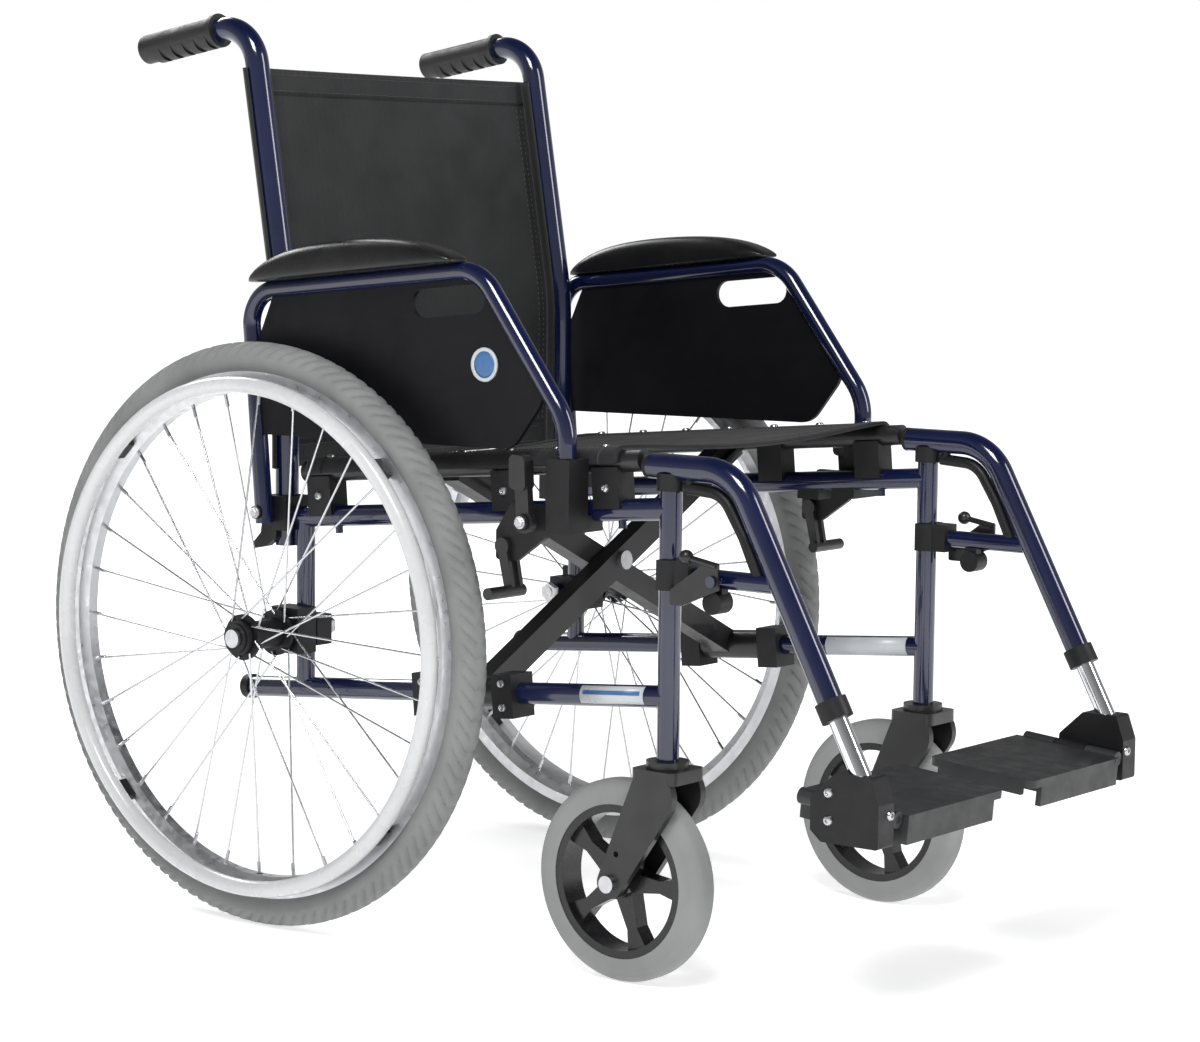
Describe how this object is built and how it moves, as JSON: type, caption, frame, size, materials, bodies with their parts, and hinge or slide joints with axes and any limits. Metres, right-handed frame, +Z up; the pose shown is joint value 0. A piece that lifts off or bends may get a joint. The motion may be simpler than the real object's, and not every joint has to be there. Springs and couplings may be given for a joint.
{
  "type": "folding manual wheelchair",
  "caption": "Folding self-propelled wheelchair with a cross-braced steel tube frame, sling seat, flip-back armrests, swing-away footrests, wheel locks and hand rims.",
  "frame": {"origin": "on the floor, under the middle of the chair's bounding box", "axes": "+Z up, the chair faces -Y, its right-hand side is -X"},
  "size_m": [0.662, 1.0471, 0.9512],
  "materials": {
    "frame_paint": "deep gloss navy enamel on steel tube",
    "black_paint": "satin black enamel on steel",
    "black_plastic": "moulded black nylon",
    "grip_rubber": "ribbed black rubber",
    "plated_steel": "bright zinc plate",
    "chrome_tube": "polished chrome plate",
    "rear_tyre": "grey non-marking rubber with a fine tread",
    "caster_tyre": "smooth grey solid rubber",
    "rim_metal": "silver lacquered rim",
    "spoke_steel": "plain drawn wire",
    "hand_rim": "smooth silver-white coat",
    "caster_hub": "gloss black moulding",
    "pad_skin": "smooth black moulded foam skin",
    "side_panel": "fine-grained black panel",
    "sling_cloth": "charcoal woven nylon",
    "footplate_plastic": "dark grey ribbed moulding"
  },
  "bodies": {
    "right_frame": {"right_side_frame": "frame_paint", "right_back_cane": "frame_paint", "right_push_grip": "grip_rubber", "right_wheel_axle": "plated_steel", "right_axle_receiver": "black_plastic", "right_brace_mounts": "black_plastic", "right_upper_mounts": "black_plastic", "back_sling": "sling_cloth"},
    "left_frame": {"left_side_frame": "frame_paint", "left_back_cane": "frame_paint", "left_push_grip": "grip_rubber", "left_wheel_axle": "plated_steel", "left_axle_receiver": "black_plastic", "left_brace_mounts": "black_plastic", "left_upper_mounts": "black_plastic"},
    "brace_a": {"brace_bar_a": "black_paint", "brace_bolt": "plated_steel"},
    "brace_b": {"brace_bar_b": "black_paint", "seat_sling": "sling_cloth"},
    "right_rear_wheel": {"right_tyre": "rear_tyre", "right_rim": "rim_metal", "right_spokes": "spoke_steel", "right_hub": "black_plastic", "right_handrim": "hand_rim"},
    "right_caster_swivel": {"right_caster_fork": "black_paint", "right_caster_axle": "plated_steel"},
    "right_caster_wheel": {"right_caster_tyre": "caster_tyre", "right_caster_hub": "caster_hub"},
    "right_armrest": {"right_arm_tube": "frame_paint", "right_arm_pad": "pad_skin", "right_arm_panel": "side_panel"},
    "right_brake_lever": {"right_brake_lever": "black_paint"},
    "right_brake_shoe": {"right_brake_shoe": "black_paint"},
    "right_hanger": {"right_hanger_tube": "frame_paint", "right_hanger_fittings": "black_plastic"},
    "right_hanger_latch": {"right_hanger_latch": "black_paint"},
    "right_foot": {"right_foot_tube": "chrome_tube", "right_foot_clamp": "black_plastic"},
    "right_footplate": {"right_footplate": "footplate_plastic"},
    "left_rear_wheel": {"left_tyre": "rear_tyre", "left_rim": "rim_metal", "left_spokes": "spoke_steel", "left_hub": "black_plastic", "left_handrim": "hand_rim"},
    "left_caster_swivel": {"left_caster_fork": "black_paint", "left_caster_axle": "plated_steel"},
    "left_caster_wheel": {"left_caster_tyre": "caster_tyre", "left_caster_hub": "caster_hub"},
    "left_armrest": {"left_arm_tube": "frame_paint", "left_arm_pad": "pad_skin", "left_arm_panel": "side_panel"},
    "left_brake_lever": {"left_brake_lever": "black_paint"},
    "left_brake_shoe": {"left_brake_shoe": "black_paint"},
    "left_hanger": {"left_hanger_tube": "frame_paint", "left_hanger_fittings": "black_plastic"},
    "left_hanger_latch": {"left_hanger_latch": "black_paint"},
    "left_foot": {"left_foot_tube": "chrome_tube", "left_foot_clamp": "black_plastic"},
    "left_footplate": {"left_footplate": "footplate_plastic"}
  },
  "joints": [
    {"name": "fold", "type": "hinge", "parent": "right_frame", "child": "brace_a", "pos_m": [-0.228, -0.02053, 0.26352], "axis": [0, -0.9962, 0.0872], "range_deg": [0, 49], "deforming": ["seat_sling", "back_sling"]},
    {"name": "cross_pivot", "type": "hinge", "parent": "brace_a", "child": "brace_b", "pos_m": [0, -0.01059, 0.37708], "axis": [0, -0.9962, 0.0872], "range_deg": [-98, 0]},
    {"name": "left_frame_hinge", "type": "hinge", "parent": "brace_b", "child": "left_frame", "pos_m": [0.228, -0.02053, 0.26352], "axis": [0, -0.9962, 0.0872], "range_deg": [0, 49]},
    {"name": "right_wheel_spin", "type": "hinge", "parent": "right_frame", "child": "right_rear_wheel", "pos_m": [-0.29, 0.21856, 0.305], "axis": [1, 0, 0], "continuous": true},
    {"name": "right_caster_swivel", "type": "hinge", "parent": "right_frame", "child": "right_caster_swivel", "pos_m": [-0.228, -0.26844, 0.224], "axis": [0, 0, 1], "continuous": true},
    {"name": "right_caster_spin", "type": "hinge", "parent": "right_caster_swivel", "child": "right_caster_wheel", "pos_m": [-0.228, -0.21944, 0.1], "axis": [1, 0, 0], "continuous": true},
    {"name": "right_armrest_flip", "type": "hinge", "parent": "right_frame", "child": "right_armrest", "pos_m": [-0.258, 0.24356, 0.43], "axis": [-1, 0, 0], "range_deg": [0, 75]},
    {"name": "right_brake_lever", "type": "hinge", "parent": "right_frame", "child": "right_brake_lever", "pos_m": [-0.276, -0.13144, 0.448], "axis": [1, 0, 0], "range_deg": [0, 50]},
    {"name": "right_brake_shoe", "type": "hinge", "parent": "right_frame", "child": "right_brake_shoe", "pos_m": [-0.2645, -0.09544, 0.421], "axis": [1, 0, 0], "range_deg": [0, 27]},
    {"name": "right_hanger_swing", "type": "hinge", "parent": "right_frame", "child": "right_hanger", "pos_m": [-0.228, -0.26844, 0.454], "axis": [0, 0, -1], "range_deg": [0, 90]},
    {"name": "right_hanger_latch", "type": "hinge", "parent": "right_hanger", "child": "right_hanger_latch", "pos_m": [-0.248, -0.33344, 0.404], "axis": [1, 0, 0], "range_deg": [0, 18], "stiffness_Nm_per_rad": 0.05, "springref_deg": -11.46},
    {"name": "right_footrest_height", "type": "slide", "parent": "right_hanger", "child": "right_foot", "axis": [0, -0.4772, -0.8788], "range_m": [-0.04, 0.09]},
    {"name": "right_footplate_flip", "type": "hinge", "parent": "right_foot", "child": "right_footplate", "pos_m": [-0.206, -0.46344, 0.2], "axis": [0, -0.9962, -0.0872], "range_deg": [0, 90]},
    {"name": "left_wheel_spin", "type": "hinge", "parent": "left_frame", "child": "left_rear_wheel", "pos_m": [0.29, 0.21856, 0.305], "axis": [1, 0, 0], "continuous": true},
    {"name": "left_caster_swivel", "type": "hinge", "parent": "left_frame", "child": "left_caster_swivel", "pos_m": [0.228, -0.26844, 0.224], "axis": [0, 0, 1], "continuous": true},
    {"name": "left_caster_spin", "type": "hinge", "parent": "left_caster_swivel", "child": "left_caster_wheel", "pos_m": [0.228, -0.21944, 0.1], "axis": [1, 0, 0], "continuous": true},
    {"name": "left_armrest_flip", "type": "hinge", "parent": "left_frame", "child": "left_armrest", "pos_m": [0.258, 0.24356, 0.43], "axis": [-1, 0, 0], "range_deg": [0, 75]},
    {"name": "left_brake_lever", "type": "hinge", "parent": "left_frame", "child": "left_brake_lever", "pos_m": [0.276, -0.13144, 0.448], "axis": [1, 0, 0], "range_deg": [0, 50]},
    {"name": "left_brake_shoe", "type": "hinge", "parent": "left_frame", "child": "left_brake_shoe", "pos_m": [0.2645, -0.09544, 0.421], "axis": [1, 0, 0], "range_deg": [0, 27]},
    {"name": "left_hanger_swing", "type": "hinge", "parent": "left_frame", "child": "left_hanger", "pos_m": [0.228, -0.26844, 0.454], "axis": [0, 0, 1], "range_deg": [0, 90]},
    {"name": "left_hanger_latch", "type": "hinge", "parent": "left_hanger", "child": "left_hanger_latch", "pos_m": [0.248, -0.33344, 0.404], "axis": [1, 0, 0], "range_deg": [0, 18], "stiffness_Nm_per_rad": 0.05, "springref_deg": -11.46},
    {"name": "left_footrest_height", "type": "slide", "parent": "left_hanger", "child": "left_foot", "axis": [0, -0.4772, -0.8788], "range_m": [-0.04, 0.09]},
    {"name": "left_footplate_flip", "type": "hinge", "parent": "left_foot", "child": "left_footplate", "pos_m": [0.206, -0.46344, 0.2], "axis": [0, 0.9962, 0.0872], "range_deg": [0, 90]}
  ],
  "couplings": [
    {"joint": "cross_pivot", "follows": "fold", "ratio": -2},
    {"joint": "left_frame_hinge", "follows": "fold", "ratio": 1},
    {"joint": "right_brake_shoe", "follows": "right_brake_lever", "ratio": 0.54},
    {"joint": "right_footplate_flip", "follows": "fold", "ratio": 1.8366},
    {"joint": "left_brake_shoe", "follows": "left_brake_lever", "ratio": 0.54},
    {"joint": "left_footplate_flip", "follows": "fold", "ratio": 1.8366}
  ]
}
